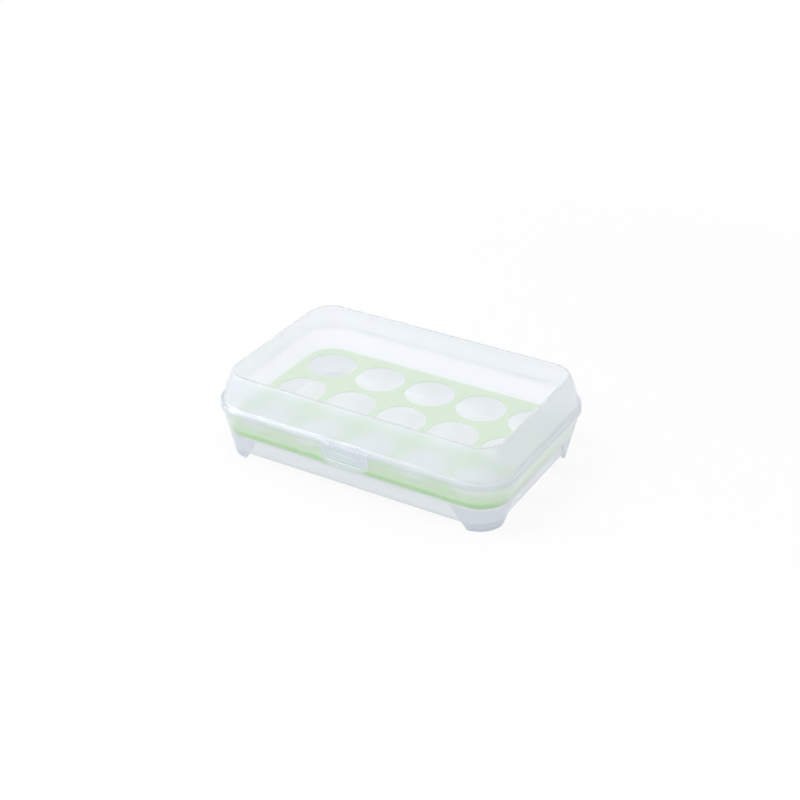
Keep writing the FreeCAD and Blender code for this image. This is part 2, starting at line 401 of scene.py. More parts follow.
@dataclass(frozen=True)
class Plastic:
    """Finish of a moulded polypropylene piece.

    Attributes:
        name: Material name.
        colour: Main sRGB colour.
        cloud: sRGB colour of the thicker, slower-cooled patches.
        transmission: Share of light that passes into the plastic.
        roughness: Mean roughness.
        roughness_spread: How far the roughness wanders.
        grain: Size of the surface grain in millimetres.
        grain_depth: Height of the grain in millimetres.
        flow: Size of the moulding's flow clouds in millimetres.
        veil: sRGB colour of the light that passes to what stands behind, or none.
        deep: sRGB colour at the foot of the piece, or none. On the feet it is painted shade.
        deep_span: Heights in millimetres between which the deep colour fades.
        ior: Index of refraction.
    """

    name: str
    colour: str
    cloud: str
    transmission: float
    roughness: float
    roughness_spread: float
    grain: float
    grain_depth: float
    flow: float
    veil: str = ""
    deep: str = ""
    deep_span: tuple[float, float] = (0.0, 1.0)
    ior: float = 1.49

    def material(self) -> bpy.types.Material:
        """Build the material, or hand out the one that another piece has built.

        Returns:
            A procedural material on Object coordinates.
        """
        known = bpy.data.materials.get(self.name)
        if known:
            return known
        material = empty_material(self.name)
        tree = material.node_tree
        place = add_node(tree, "ShaderNodeTexCoord").outputs["Object"]
        clouds = add_node(tree, "ShaderNodeTexNoise", {}, {
            "Vector": place, "Scale": 1 / (self.flow * MM),
            "Detail": CLOUD_DETAIL, "Roughness": CLOUD_ROUGHNESS}).outputs["Fac"]
        grain = add_node(tree, "ShaderNodeTexNoise", {}, {
            "Vector": place, "Scale": 1 / (self.grain * MM),
            "Detail": GRAIN_DETAIL, "Roughness": GRAIN_ROUGHNESS}).outputs["Fac"]
        haze = add_node(tree, "ShaderNodeMapRange", {}, {
            "Value": clouds, "From Min": NOISE_LOW, "From Max": NOISE_HIGH,
            "To Min": self.roughness - self.roughness_spread,
            "To Max": self.roughness + self.roughness_spread}).outputs["Result"]
        bump = add_node(tree, "ShaderNodeBump", {}, {
            "Height": grain, "Strength": 1.0,
            "Distance": self.grain_depth * MM}).outputs["Normal"]
        surface = add_node(tree, "ShaderNodeBsdfPrincipled", {}, {
            "Base Color": self.tint(tree, place, clouds), "Roughness": haze, "Normal": bump,
            "Transmission Weight": self.transmission, "IOR": self.ior}).outputs["BSDF"]
        if self.veil:
            surface = self.lit_through(tree, surface)
        add_node(tree, "ShaderNodeOutputMaterial", {}, {"Surface": surface})
        return material

    def tint(self, tree: bpy.types.NodeTree, place: bpy.types.NodeSocket,
             clouds: bpy.types.NodeSocket) -> bpy.types.NodeSocket:
        """Mix the plastic's colour with its clouds, and with the deep colour at its foot.

        Args:
            tree: Node tree of the material.
            place: Object coordinates.
            clouds: Noise of the flow clouds.

        Returns:
            The colour.
        """
        mixed = add_node(tree, "ShaderNodeMix", {"data_type": "RGBA"}, {
            "Factor": clouds, "A": linear(self.colour), "B": linear(self.cloud)}).outputs["Result"]
        if not self.deep:
            return mixed
        low, high = self.deep_span
        height = add_node(tree, "ShaderNodeSeparateXYZ", {}, {"Vector": place}).outputs["Z"]
        fade = add_node(tree, "ShaderNodeMapRange", {"interpolation_type": "SMOOTHSTEP"}, {
            "Value": height, "From Min": low * MM, "From Max": high * MM}).outputs["Result"]
        return add_node(tree, "ShaderNodeMix", {"data_type": "RGBA"}, {
            "Factor": fade, "A": linear(self.deep), "B": mixed}).outputs["Result"]

    def lit_through(self, tree: bpy.types.NodeTree,
                    surface: bpy.types.NodeSocket) -> bpy.types.NodeSocket:
        """Let the lamps and the surround light what stands behind the plastic.

        Args:
            tree: Node tree of the material.
            surface: The plastic's own shader.

        Returns:
            The shader with the light let through.
        """
        path = add_node(tree, "ShaderNodeLightPath").outputs
        lighting = add_node(tree, "ShaderNodeMath", {"operation": "MAXIMUM"}, {
            0: path["Is Shadow Ray"], 1: path["Is Diffuse Ray"]}).outputs[0]
        clear = add_node(tree, "ShaderNodeBsdfTransparent", {}, {
            "Color": linear(self.veil)}).outputs[0]
        return add_node(tree, "ShaderNodeMixShader", {}, {
            0: lighting, 1: surface, 2: clear}).outputs[0]


# A real mould texture is too fine to show here, so the frosted grain is drawn about 1 mm wide.
# Polypropylene from a textured mould: blurs what stands behind it and keeps a cool white body.
FROSTED_BASE = Plastic(
    "frosted_polypropylene_base", colour="#F9FAFE", cloud="#F6F8FD", transmission=0.84,
    roughness=0.30, roughness_spread=0.015, grain=1.1, grain_depth=0.001, flow=60.0,
    veil="#FDFDFE")
# Below the ledge the wall is thicker, so it is milkier and hides what stands behind it.
FROSTED_LOWER = replace(
    FROSTED_BASE, name="frosted_polypropylene_lower", colour="#F2F4FA", cloud="#EFF1F8",
    transmission=0.52, roughness=0.34, roughness_spread=0.02)
# A foot is a second wall before the first, so it is the greyest part. That grey is partly painted
# shade, and the darkening towards its sole is painted shade near the floor.
FOOT_WITH_PAINTED_SHADE = replace(
    FROSTED_LOWER, name="frosted_polypropylene_foot_painted_shade", colour="#DFE3EC", cloud="#DBDFE9",
    transmission=0.50, deep="#C9CEDA", deep_span=(0.0, 9.0))
# The lid's walls come from a finer texture and are milkier than the top.
FROSTED_LID = replace(
    FROSTED_BASE, name="frosted_polypropylene_lid", colour="#F7F9FE", cloud="#F4F7FD",
    transmission=0.75, grain=0.9)
# The rim and the flange are the most matt, so only their creases show, as thin grey lines.
FROSTED_RIM = replace(
    FROSTED_LID, name="frosted_polypropylene_rim", colour="#EFF2F8", cloud="#EBEFF6",
    transmission=0.82, roughness=0.36, roughness_spread=0.02)
# The lid's top comes from a polished mould face: clear but milky, with faintly wavy reflections.
POLISHED_LID = Plastic(
    "polished_polypropylene_lid", colour="#FBFCFF", cloud="#F9FBFF", transmission=0.76,
    roughness=0.03, roughness_spread=0.01, grain=14.0, grain_depth=0.002, flow=80.0,
    veil="#FDFDFE")
# The latch is small and satin, so its border and ribs carry soft bright and dark lines.
SATIN_LATCH = Plastic(
    "satin_polypropylene_latch", colour="#EDF1F8", cloud="#E8EDF5", transmission=0.78,
    roughness=0.30, roughness_spread=0.015, grain=5.0, grain_depth=0.002, flow=20.0,
    veil="#FDFDFE")
# Light green polypropylene from a satin mould face. Light that runs in the plate comes out at
# its edges, so the foot of the lip is a deeper green.
GREEN_TRAY = Plastic(
    "green_polypropylene_tray", colour="#B4DC9A", cloud="#AED793", transmission=0.1,
    roughness=0.42, roughness_spread=0.04, grain=0.8, grain_depth=0.004, flow=35.0,
    deep="#72CA0E", deep_span=(25.6, 27.35))


@dataclass(frozen=True)
class WallPlan:
    """Sizes that the walls of all pieces share, in millimetres.

    The corners of every wall share one axis each, at the corners of a core rectangle. A wall is
    a section, in radius from that axis and height, carried round the rectangle.
    """

    half_length: float = 98.2
    half_width: float = 52.5
    ledge_radius: float = 23.7
    ledge_height: float = 22.6
    ledge_width: float = 1.6
    flare: float = math.tan(math.radians(12))
    wall: float = 1.6
    seam_height: float = 44.0
    seam_gap: float = 0.2
    flange_thickness: float = 3.0
    flange_reach: float = 1.2
    upstand_height: float = 1.3
    upstand_wall: float = 0.8
    upstand_clearance: float = 0.3
    rim_rise: float = 3.5
    rim_inset: float = 0.4
    rim_ledge: float = 2.2
    knuckle_radius: float = 1.5
    knuckle_share: float = 0.95
    throat_share: float = 0.9
    pin_radius: float = 0.8
    pin_clearance: float = 0.05
    pivot_gap: float = 0.3
    hinge_spacing: float = 140.0
    hinge_width: float = 14.0
    latch_axis_rise: float = 2.4
    latch_ear_spacing: float = 21.0
    latch_ear_width: float = 4.0

    def inner(self, height: float) -> float:
        """Corner radius of the base's inner face at a height."""
        return self.ledge_radius + (height - self.ledge_height) * self.flare

    def outer(self, height: float) -> float:
        """Corner radius of the base's outer face at a height."""
        return self.inner(height) + self.wall

    @property
    def flange_bottom(self) -> float:
        """Height of the underside of the base's rim flange."""
        return self.seam_height - self.flange_thickness

    @property
    def flange_radius(self) -> float:
        """Corner radius of the rim flange and of the lid's rim above it."""
        return self.outer(self.flange_bottom) + self.flange_reach

    @property
    def ridge_radius(self) -> float:
        """Corner radius of the ridge above the lid's rim."""
        return self.flange_radius - self.rim_inset

    @property
    def upstand_radius(self) -> float:
        """Corner radius of the outer face of the upstand inside the rim."""
        return self.inner(self.seam_height) + self.upstand_wall

    @property
    def recess_radius(self) -> float:
        """Corner radius of the lid's recess round the upstand."""
        return self.upstand_radius + self.upstand_clearance

    @property
    def knuckle_round(self) -> float:
        """Rounding of a knuckle's outer corners."""
        return self.knuckle_radius * self.knuckle_share

    @property
    def throat_round(self) -> float:
        """Rounding of a knuckle's corner next to its arm."""
        return self.knuckle_radius * self.throat_share

    @property
    def pivot(self) -> float:
        """Distance of both pivot axes from the middle."""
        return self.half_width + self.flange_radius + self.pivot_gap + self.knuckle_radius

    @property
    def hinge_height(self) -> float:
        """Height of the rear hinge's axis."""
        return self.seam_height + self.seam_gap / 2

    @property
    def latch_height(self) -> float:
        """Height of the latch's axis."""
        return self.seam_height + self.latch_axis_rise

    def outward(self, point: Vector) -> Vector:
        """Find the level way from the core rectangle to a point outside it.

        Args:
            point: Point in millimetres.

        Returns:
            The way, or zero for a point within the rectangle.
        """
        across = max(-self.half_length, min(self.half_length, point.x))
        deep = max(-self.half_width, min(self.half_width, point.y))
        return Vector((point.x - across, point.y - deep, 0))

    def centres(self) -> list[Vector]:
        """Corner axes in turning order, from the rear right."""
        signs = ((1, 1), (-1, 1), (-1, -1), (1, -1))
        return [Vector((x * self.half_length, y * self.half_width, 0)) for x, y in signs]

    def carried_round(self, section: Sequence[Corner]) -> bmesh.types.BMesh:
        """Carry a section round the core rectangle.

        Args:
            section: Corners as (radius, height, rounding).

        Returns:
            A mesh whose ends meet, with open loops left where the section ends.
        """
        mesh = bmesh.new()
        centres = self.centres()
        rounded_wire(mesh, section,
                     lambda radius, up: centres[0] + Vector((radius, 0, up)), False)
        profile = [*mesh.verts, *mesh.edges]
        for here, there in zip(centres, centres[1:] + centres[:1]):
            profile = drawn_out(mesh, turned(mesh, profile, here), there - here)
        bmesh.ops.remove_doubles(mesh, verts=mesh.verts, dist=WELD)
        return mesh


@dataclass
class Base:
    """Frosted tub with a tray ledge, flange, upstand, feet and hinge pins, in millimetres."""

    plan: WallPlan
    floor_height: float = 4.9
    floor_thickness: float = 1.6
    floor_round: float = 1.2
    foot_top_run: float = 37.0
    foot_bottom_run: float = 19.5
    foot_round: float = 4.0
    foot_round_steps: int = 6
    foot_reach: float = 16.0
    foot_inset: float = 0.02
    foot_tenon: float = 0.6
    ear_width: float = 4.0
    side_clearance: float = 0.3
    edge_round: float = 0.4
    fine_round: float = 0.2

    @property
    def step_height(self) -> float:
        """Height of the step under the tray ledge, where the feet begin."""
        return self.plan.ledge_height - self.plan.wall

    def tub(self) -> bmesh.types.BMesh:
        """Model the floor, lower wall, ledge, flared wall, flange and upstand.

        Returns:
            A closed mesh.
        """
        plan = self.plan
        seam, step, flange = plan.seam_height, self.step_height, plan.flange_bottom
        floor_top = self.floor_height + self.floor_thickness
        rim_top = seam + plan.upstand_height
        mesh = plan.carried_round([
            Corner(0, self.floor_height),
            Corner(plan.outer(self.floor_height) - plan.ledge_width, self.floor_height,
                   self.floor_round),
            Corner(plan.outer(step) - plan.ledge_width, step, self.edge_round),
            Corner(plan.outer(step), step, self.edge_round),
            Corner(plan.outer(flange), flange, self.edge_round),
            Corner(plan.flange_radius, flange, self.edge_round),
            Corner(plan.flange_radius, seam, self.edge_round),
            Corner(plan.upstand_radius, seam),
            Corner(plan.upstand_radius, rim_top, self.fine_round),
            Corner(plan.inner(seam), rim_top, self.fine_round),
            Corner(plan.inner(seam), seam),
            Corner(plan.inner(plan.ledge_height), plan.ledge_height, self.fine_round),
            Corner(plan.inner(plan.ledge_height) - plan.ledge_width, plan.ledge_height,
                   self.edge_round),
            Corner(plan.inner(floor_top) - plan.ledge_width, floor_top, self.floor_round),
            Corner(0, floor_top),
        ])
        close_up(mesh)
        return mesh

    def foot(self) -> bmesh.types.BMesh:
        """Model the rear right foot: the outer wall carried down, with slanting sides.

        Returns:
            A closed mesh.
        """
        plan = self.plan
        mesh = bmesh.new()
        centre = plan.centres()[0]
        thickness = plan.ledge_width + plan.wall / 2
        top = self.step_height + self.foot_tenon
        low_face = plan.outer(0) - self.foot_inset
        high_face = plan.outer(top) - self.foot_inset
        rounded_wire(mesh, [
            Corner(low_face - thickness, 0, self.edge_round),
            Corner(low_face, 0, self.edge_round),
            Corner(high_face, top),
            Corner(high_face - thickness, top),
        ], lambda radius, up: centre + Vector((radius, -self.foot_reach, up)), True)
        profile = drawn_out(mesh, mesh.edges[:], REARWARD * self.foot_reach)
        drawn_out(mesh, turned(mesh, profile, centre), ALONG * -self.foot_reach)
        close_up(mesh)
        self.slant(mesh, plan.half_length, ALONG)
        self.slant(mesh, plan.half_width, REARWARD)
        return mesh

    def slant(self, mesh: bmesh.types.BMesh, half: float, along: Vector) -> None:
        """Cut one side of a foot on the slant and round it into the sole.

        Args:
            mesh: Foot that is cut.
            half: Half length of the core rectangle along the side.
            along: Direction from the middle of the side to the foot.
        """
        plan = self.plan
        low = half + plan.outer(0) - self.foot_bottom_run
        high = half + plan.outer(self.step_height) - self.foot_top_run
        slope = (along * (high - low) + UP * self.step_height).normalized()
        normal = slope.cross(UP.cross(along)).normalized()
        if normal.dot(along) > 0:
            normal.negate()
        cut = bmesh.ops.bisect_plane(mesh, geom=[*mesh.verts, *mesh.edges, *mesh.faces],
                                     dist=CUT_WELD, plane_co=along * low, plane_no=normal,
                                     clear_outer=True)
        bmesh.ops.contextual_create(mesh, geom=of_kind(cut["geom_cut"], bmesh.types.BMEdge))
        bmesh.ops.recalc_face_normals(mesh, faces=mesh.faces)
        turn = slope.angle(-along)
        sole = [edge for edge in mesh.edges
                if all(vert.co.z < WELD and abs(vert.co.dot(along) - low) < WELD
                       for vert in edge.verts)]
        soften(mesh, Soften.EDGES, sole, self.foot_round * math.tan(turn / 2),
               self.foot_round_steps)

    def feet(self) -> bmesh.types.BMesh:
        """Mirror one foot into all four.

        Returns:
            A mesh of four closed feet.
        """
        mesh = self.foot()
        for axis in ("X", "Y"):
            parts = [*mesh.verts, *mesh.edges, *mesh.faces]
            bmesh.ops.mirror(mesh, geom=parts, axis=axis, merge_dist=-1)
        bmesh.ops.recalc_face_normals(mesh, faces=mesh.faces)
        return mesh

    def hinge_ears(self) -> bmesh.types.BMesh:
        """Model the rear ears in pairs, with a moulded pin between each pair.

        Returns:
            A mesh of ears and pins, side by side.
        """
        plan = self.plan
        offset = plan.hinge_width / 2 + self.side_clearance + self.ear_width / 2
        root = plan.half_width + plan.flange_radius - plan.flange_reach / 2
        near = plan.pivot - plan.knuckle_radius
        far = plan.pivot + plan.knuckle_radius
        low = plan.hinge_height - plan.knuckle_radius
        high = plan.hinge_height + plan.knuckle_radius
        parts = []
        for side in (-1, 1):
            centre = side * plan.hinge_spacing / 2
            for end in (-1, 1):
                parts.append(prism([
                    Corner(root, plan.flange_bottom + self.edge_round),
                    Corner(far, low, plan.knuckle_round),
                    Corner(far, high, plan.knuckle_round),
                    Corner(near, high, plan.throat_round),
                    Corner(near, plan.seam_height - self.edge_round),
                    Corner(root, plan.seam_height - self.edge_round),
                ], centre + end * offset, self.ear_width))
            parts.append(rod(plan.pin_radius, plan.pivot, plan.hinge_height, centre, 2 * offset))
        return joined(parts)

    def build(self) -> bpy.types.Object:
        """Model the base and dress it.

        Returns:
            The finished piece.
        """
        piece = as_object("frosted_base", self.tub())
        combine(piece, self.feet(), Change.ADD)
        combine(piece, self.hinge_ears(), Change.ADD)
        self.texture(piece.data)
        finishes = (FROSTED_BASE, FROSTED_LOWER, FROSTED_RIM, FOOT_WITH_PAINTED_SHADE)
        finish_piece(piece, [finish.material() for finish in finishes], "base")
        return piece

    def faces_inside(self, face: bpy.types.MeshPolygon) -> bool:
        """Tell whether a face belongs to the floor or to the inside of the walls round it.

        Args:
            face: Face of the base, in millimetres.

        Returns:
            True for a face of the floor or of the tub's inside.
        """
        if abs(face.normal.z) > FLAT and face.center.z > self.floor_height - WELD:
            return True
        if face.center.z < self.floor_height + self.floor_thickness - WELD:
            return False
        return self.plan.outward(face.center).dot(face.normal) < -WELD

    def on_foot(self, face: bpy.types.MeshPolygon) -> bool:
        """Tell whether a face is of a foot: below the floor, or outside the lower wall.

        Args:
            face: Face of the base below the ledge, in millimetres.

        Returns:
            True for a face of a foot.
        """
        middle = self.plan.outer(face.center.z) - self.plan.ledge_width / 2
        below = face.center.z < self.floor_height - WELD
        return below or self.plan.outward(face.center).length > middle

    def texture(self, data: bpy.types.Mesh) -> None:
        """Give the wall, the outside below the ledge, the feet and the rim their finishes. The feet's
        finish carries painted shade.

        Args:
            data: Mesh of the base in millimetres.
        """
        for face in data.polygons:
            region = BaseRegion.WALL
            if face.center.z < self.step_height and not self.faces_inside(face):
                # Feet take the finish with painted shade, greyer and darker towards the sole.
                region = BaseRegion.FOOT if self.on_foot(face) else BaseRegion.LOWER
            elif face.center.z > self.plan.flange_bottom - self.edge_round:
                region = BaseRegion.RIM
            face.material_index = region.value


@dataclass
class EggTray:
    """Green plate with round egg seats and a turned-down lip, in millimetres."""

    plan: WallPlan
    columns: int = 5
    rows: int = 3
    pitch: float = 47.0
    seat_radius: float = 20.5
    seat_round: float = 0.3
    corner_radius: float = 23.4
    plate: float = 1.2
    lip_height: float = 4.8
    lip_wall: float = 1.5
    edge_round: float = 1.0
    fine_round: float = 0.3
    seat_steps: int = 72

    def build(self) -> bpy.types.Object:
        """Model the tray and dress it.

        Returns:
            The finished piece.
        """
        plan = self.plan
        top = plan.ledge_height + self.lip_height
        bottom = top - self.plate
        inside = self.corner_radius - self.lip_wall
        margin = 2 * self.edge_round
        lip = plan.carried_round([
            Corner(self.corner_radius - margin, top),
            Corner(self.corner_radius, top, self.edge_round),
            Corner(self.corner_radius, plan.ledge_height, self.fine_round),
            Corner(inside, plan.ledge_height, self.fine_round),
            Corner(inside, bottom, self.fine_round),
            Corner(inside - margin, bottom),
        ])
        mesh = joined([lip, *(self.seat(x, y, top, bottom) for x, y in self.seat_places())])
        for height in (top, bottom):
            rims = [edge for edge in mesh.edges if edge.is_boundary
                    and all(abs(vert.co.z - height) < WELD for vert in edge.verts)]
            bmesh.ops.triangle_fill(mesh, edges=rims, use_beauty=True, use_dissolve=False)
        bmesh.ops.remove_doubles(mesh, verts=mesh.verts, dist=WELD)
        bmesh.ops.recalc_face_normals(mesh, faces=mesh.faces)
        piece = as_object("green_egg_tray", mesh)
        finish_piece(piece, [GREEN_TRAY.material()], "egg_tray")
        return piece

    def seat_places(self) -> list[tuple[float, float]]:
        """Lay out the middles of the egg seats.

        Returns:
            Places along and across the box.
        """
        across = [(column - (self.columns - 1) / 2) * self.pitch for column in range(self.columns)]
        deep = [(row - (self.rows - 1) / 2) * self.pitch for row in range(self.rows)]
        return [(x, y) for x in across for y in deep]

    def seat(self, x: float, y: float, top: float, bottom: float) -> bmesh.types.BMesh:
        """Model the wall of one seat, with softened edges.

        Args:
            x: Middle of the seat along the box.
            y: Middle of the seat across the box.
            top: Height of the plate's upper face.
            bottom: Height of the plate's lower face.

        Returns:
            A mesh with an open loop in each face of the plate.
        """
        mesh = bmesh.new()
        centre = Vector((x, y, 0))
        wide = self.seat_radius + 2 * self.seat_round
        rounded_wire(mesh, [
            Corner(wide, top),
            Corner(self.seat_radius, top, self.seat_round),
            Corner(self.seat_radius, bottom, self.seat_round),
            Corner(wide, bottom),
        ], lambda radius, up: centre + Vector((radius, 0, up)), False)
        bmesh.ops.spin(mesh, geom=[*mesh.verts, *mesh.edges], cent=centre, axis=UP,
                       angle=math.tau, steps=self.seat_steps, use_merge=True,
                       use_duplicate=False)
        return mesh


@dataclass
class Lid:
    """Polished top, bowed frosted walls, ridged rim, knuckles and latch eyes, in millimetres."""

    plan: WallPlan
    wall: float = 1.6
    top_thickness: float = 1.8
    rise: float = 28.0
    ridge_round: float = 0.5
    foot_round: float = 2.0
    shoulder_rise: float = 20.6
    shoulder_inset: float = 6.4
    shoulder_round: float = 30.0
    top_inset: float = 10.6
    top_round: float = 2.0
    edge_round: float = 0.4
    mouth_share: float = 0.8
    overrun: float = 2.0

    def shell(self) -> bmesh.types.BMesh:
        """Model the top, the walls and the rim.

        Returns:
            A closed mesh.
        """
        plan = self.plan
        top = plan.seam_height + self.rise
        ceiling = top - self.top_thickness
        shoulder_height = plan.seam_height + self.shoulder_rise
        ridge_height = plan.seam_height + plan.rim_rise
        low = plan.seam_height + plan.seam_gap
        recess_top = plan.seam_height + plan.upstand_height + plan.upstand_clearance
        shoulder = plan.ridge_radius - self.shoulder_inset
        top_radius = plan.ridge_radius - self.top_inset
        slope = (top_radius - shoulder) / (top - shoulder_height)
        ceiling_radius = shoulder - self.wall + slope * (ceiling - shoulder_height)
        wall_foot = plan.ridge_radius - plan.rim_ledge
        mesh = plan.carried_round([
            Corner(0, ceiling),
            Corner(ceiling_radius, ceiling, self.top_round / 2),
            Corner(shoulder - self.wall, shoulder_height, self.shoulder_round - self.wall),
            Corner(wall_foot - self.wall, ridge_height, self.edge_round),
            Corner(wall_foot - self.wall, recess_top),
            Corner(plan.recess_radius, recess_top),
            Corner(plan.recess_radius, low, self.edge_round),
            Corner(plan.flange_radius, low, self.edge_round),
            Corner(plan.ridge_radius, ridge_height, self.ridge_round),
            Corner(wall_foot, ridge_height, self.foot_round),
            Corner(shoulder, shoulder_height, self.shoulder_round),
            Corner(top_radius, top, self.top_round),
            Corner(0, top),
        ])
        close_up(mesh)
        return mesh

    def arm(self, facing: int, height: float, centre: float, width: float) -> bmesh.types.BMesh:
        """Model an arm from the rim to a knuckle on a pivot.

        Args:
            facing: 1 for the rear, -1 for the front.
            height: Height of the pivot's axis.
            centre: Middle of the arm along X.
            width: Width of the arm.

        Returns:
            A closed mesh.
        """
        plan = self.plan
        low = plan.seam_height + plan.seam_gap + self.edge_round
        root = facing * (plan.half_width + (plan.recess_radius + plan.ridge_radius) / 2)
        near = facing * (plan.pivot - plan.knuckle_radius)
        far = facing * (plan.pivot + plan.knuckle_radius)
        bottom = height - plan.knuckle_radius
        top = height + plan.knuckle_radius
        throat = []
        if bottom < low:
            throat = [Corner(near, low), Corner(near, bottom, plan.throat_round)]
        return prism([
            Corner(root, max(low, bottom)),
            *throat,
            Corner(far, bottom, plan.knuckle_round),
            Corner(far, top, plan.knuckle_round),
            Corner(root, top),
        ], centre, width)

    def eye(self, y: float, z: float, centre: float, width: float,
            mouth: Vector) -> bmesh.types.BMesh:
        """Model the cut for a snap eye: a running bore and the narrower mouth for its pin.

        Args:
            y: Axis place in Y.
            z: Axis place in Z.
            centre: Middle of the eye along X.
            width: Width of the arm that it goes through.
            mouth: Direction that the mouth opens to.

        Returns:
            A mesh to cut with.
        """
        plan = self.plan
        long = width + 2 * self.overrun
        half = plan.pin_radius * self.mouth_share
        reach = mouth * (plan.knuckle_radius + self.overrun)
        side = ALONG.cross(mouth) * half
        start = Vector((0, y, z))
        points = [start + side, start + side + reach, start - side + reach, start - side]
        bore = rod(plan.pin_radius + plan.pin_clearance, y, z, centre, long)
        entry = prism([Corner(point.y, point.z) for point in points], centre, long - self.overrun)
        return joined([bore, entry])

    def build(self) -> bpy.types.Object:
        """Model the lid and dress it.

        Returns:
            The finished piece.
        """
        plan = self.plan
        piece = as_object("clear_lid", self.shell())
        hinge, latch = plan.hinge_height, plan.latch_height
        arms = []
        eyes = []
        for side in (-1, 1):
            rear = side * plan.hinge_spacing / 2
            front = side * plan.latch_ear_spacing / 2
            arms.append(self.arm(1, hinge, rear, plan.hinge_width))
            arms.append(self.arm(-1, latch, front, plan.latch_ear_width))
            eyes.append(self.eye(plan.pivot, hinge, rear, plan.hinge_width, -UP))
            eyes.append(self.eye(-plan.pivot, latch, front, plan.latch_ear_width, -REARWARD))
        combine(piece, joined(arms), Change.ADD)
        combine(piece, joined(eyes), Change.CUT)
        self.polish(piece.data)
        finishes = (FROSTED_LID, POLISHED_LID, FROSTED_RIM)
        finish_piece(piece, [finish.material() for finish in finishes], "lid")
        return piece

    def polish(self, data: bpy.types.Mesh) -> None:
        """Give the flat top its polish, inside its softened edge, and the rim its texture.

        Args:
            data: Mesh of the lid in millimetres.
        """
        ceiling = self.plan.seam_height + self.rise - self.top_thickness
        rim_top = self.plan.seam_height + self.plan.rim_rise + self.foot_round
        for face in data.polygons:
            region = LidRegion.WALL
            if face.center.z > ceiling - WELD and abs(face.normal.z) > FLAT:
                region = LidRegion.POLISHED
            elif face.center.z < rim_top:
                region = LidRegion.RIM
            face.material_index = region.value


